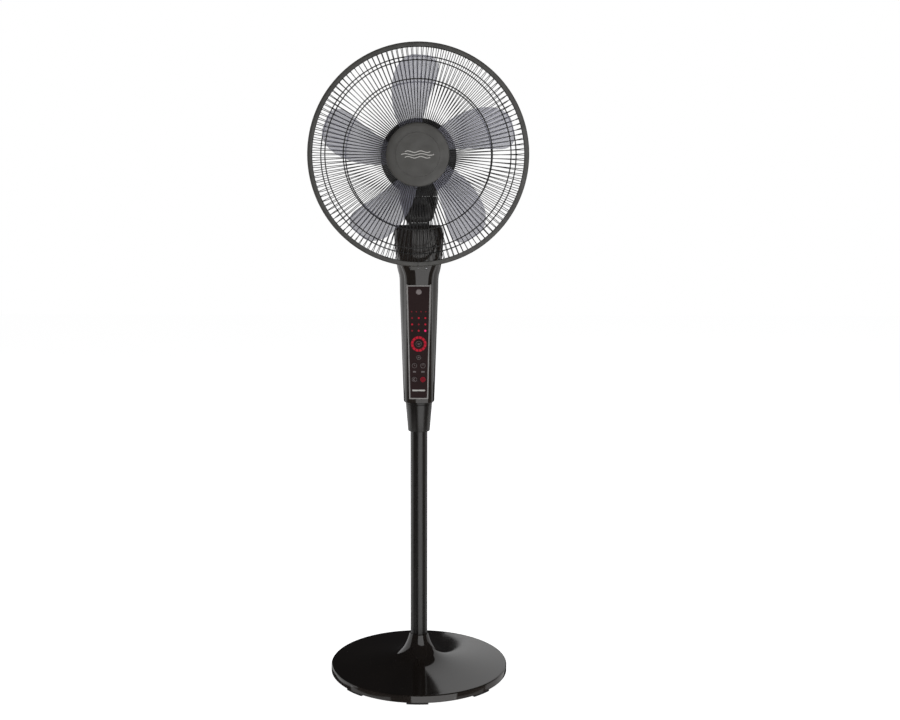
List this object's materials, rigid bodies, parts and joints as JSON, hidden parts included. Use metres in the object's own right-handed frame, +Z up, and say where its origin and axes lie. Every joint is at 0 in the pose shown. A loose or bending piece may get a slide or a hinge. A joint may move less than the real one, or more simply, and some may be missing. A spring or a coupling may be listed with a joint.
{
  "type": "pedestal fan",
  "caption": "Pedestal fan with a caged translucent blade, a telescopic pole, a control column with a key panel and a round flared base; the head tilts and swings.",
  "frame": {"origin": "on the floor, under the axis of the pole", "axes": "+Z up along the pole, the fan blows towards -Y, +X is the viewer's right when facing the fan"},
  "size_m": [0.427, 0.37, 1.2864],
  "materials": {
    "gloss_black": "glossy black moulded plastic",
    "satin_black": "satin black moulded plastic",
    "pole_black": "glossy black powder-coated tube",
    "black_plastic": "matt black moulded plastic",
    "rubber": "matt black rubber",
    "weight_iron": "rough cast iron",
    "steel": "zinc-plated steel",
    "chrome_tube": "polished chromed tube",
    "frame_silver": "satin grey trim",
    "lens": "dark smoked acrylic",
    "lamp_red": "lit red light guide",
    "receiver": "smoked receiver window",
    "board": "green solder mask",
    "key_black": "dark smoked acrylic key",
    "motor_alloy": "die-cast alloy",
    "core_steel": "stacked laminations",
    "copper": "enamelled copper wire",
    "bronze": "sintered bronze",
    "guard_wire": "black powder-coated wire",
    "graphite": "satin graphite grey plastic",
    "smoke_blade": "translucent smoke-blue blade"
  },
  "bodies": {
    "stand": {"base_cover": "gloss_black", "base_weight": "weight_iron", "base_feet": "rubber", "pole_bolt": "steel", "pole_washer": "steel", "pole_plug": "black_plastic", "outer_pole": "pole_black", "height_collet": "black_plastic"},
    "lock_collar": {"height_collar": "gloss_black"},
    "mast": {"inner_tube": "chrome_tube", "housing_front": "gloss_black", "housing_rear": "satin_black", "panel_frame": "frame_silver", "panel_lens": "lens", "light_ring": "lamp_red", "indicator_lamps": "lamp_red", "remote_receiver": "receiver", "display_board": "board", "tact_switches": "black_plastic", "power_board": "board", "run_capacitor": "black_plastic", "cord_gland": "rubber", "housing_screws": "steel", "neck_bracket": "black_plastic", "tilt_pin": "steel", "tilt_clip": "steel"},
    "speed_button": {"key_speed": "key_black"},
    "mode_button": {"key_mode": "key_black"},
    "timer_button": {"key_timer": "key_black"},
    "swing_button": {"key_swing": "key_black"},
    "night_button": {"key_night": "key_black"},
    "power_button": {"key_power": "lamp_red"},
    "tilt_neck": {"tilt_bracket": "black_plastic", "neck_cover_front": "gloss_black", "neck_cover_rear": "gloss_black"},
    "head": {"pivot_post": "steel", "swing_motor": "steel", "motor_front_bell": "motor_alloy", "motor_rear_bell": "motor_alloy", "stator_core": "core_steel", "stator_windings": "copper", "front_bearing": "bronze", "rear_bearing": "bronze", "motor_screws": "steel", "motor_cover": "satin_black", "motor_front_plate": "black_plastic", "rear_guard": "guard_wire", "guard_nut": "black_plastic", "front_guard": "guard_wire", "guard_hoop": "graphite", "hoop_screw": "steel", "hoop_nut": "steel", "guard_badge": "graphite"},
    "crank": {"swing_crank": "black_plastic"},
    "link": {"swing_link": "steel"},
    "rotor": {"rotor_core": "core_steel", "motor_shaft": "steel", "fan_blade": "smoke_blade", "drive_pin": "steel", "blade_nut": "black_plastic"}
  },
  "joints": [
    {"name": "collar_twist", "type": "hinge", "parent": "stand", "child": "lock_collar", "pos_m": [0, 0, 0.55], "axis": [0, 0, 1], "range_deg": [0, 90]},
    {"name": "mast_lift", "type": "slide", "parent": "stand", "child": "mast", "axis": [0, 0, 1], "range_m": [0, 0.2]},
    {"name": "speed_press", "type": "slide", "parent": "mast", "child": "speed_button", "axis": [0, 1, 0], "range_m": [0, 0.0006], "stiffness_N_per_m": 600, "springref_m": -0.0004},
    {"name": "mode_press", "type": "slide", "parent": "mast", "child": "mode_button", "axis": [0, 1, 0], "range_m": [0, 0.0006], "stiffness_N_per_m": 600, "springref_m": -0.0004},
    {"name": "timer_press", "type": "slide", "parent": "mast", "child": "timer_button", "axis": [0, 1, 0], "range_m": [0, 0.0006], "stiffness_N_per_m": 600, "springref_m": -0.0004},
    {"name": "swing_press", "type": "slide", "parent": "mast", "child": "swing_button", "axis": [0, 1, 0], "range_m": [0, 0.0006], "stiffness_N_per_m": 600, "springref_m": -0.0004},
    {"name": "night_press", "type": "slide", "parent": "mast", "child": "night_button", "axis": [0, 1, 0], "range_m": [0, 0.0006], "stiffness_N_per_m": 600, "springref_m": -0.0004},
    {"name": "power_press", "type": "slide", "parent": "mast", "child": "power_button", "axis": [0, 1, 0], "range_m": [0, 0.0006], "stiffness_N_per_m": 600, "springref_m": -0.0004},
    {"name": "head_tilt", "type": "hinge", "parent": "mast", "child": "tilt_neck", "pos_m": [0, 0, 0.9569], "axis": [1, 0, 0], "range_deg": [-20, 10]},
    {"name": "head_swing", "type": "hinge", "parent": "tilt_neck", "child": "head", "pos_m": [0, 0, 0.9949], "axis": [0, 0, 1], "range_deg": [-40, 40]},
    {"name": "crank_turn", "type": "hinge", "parent": "head", "child": "crank", "pos_m": [0, 0.05, 1.0119], "axis": [0, 0, 1], "range_deg": [-92, 92]},
    {"name": "link_turn", "type": "hinge", "parent": "crank", "child": "link", "pos_m": [0.01671, 0.05, 1.0089], "axis": [0, 0, 1], "range_deg": [-102, 102]},
    {"name": "blade_spin", "type": "hinge", "parent": "head", "child": "rotor", "pos_m": [0, -0.09, 1.0729], "axis": [0, -1, 0], "continuous": true}
  ],
  "couplings": [
    {"joint": "crank_turn", "follows": "head_swing", "ratio": -2.25},
    {"joint": "link_turn", "follows": "head_swing", "ratio": 2.5}
  ]
}
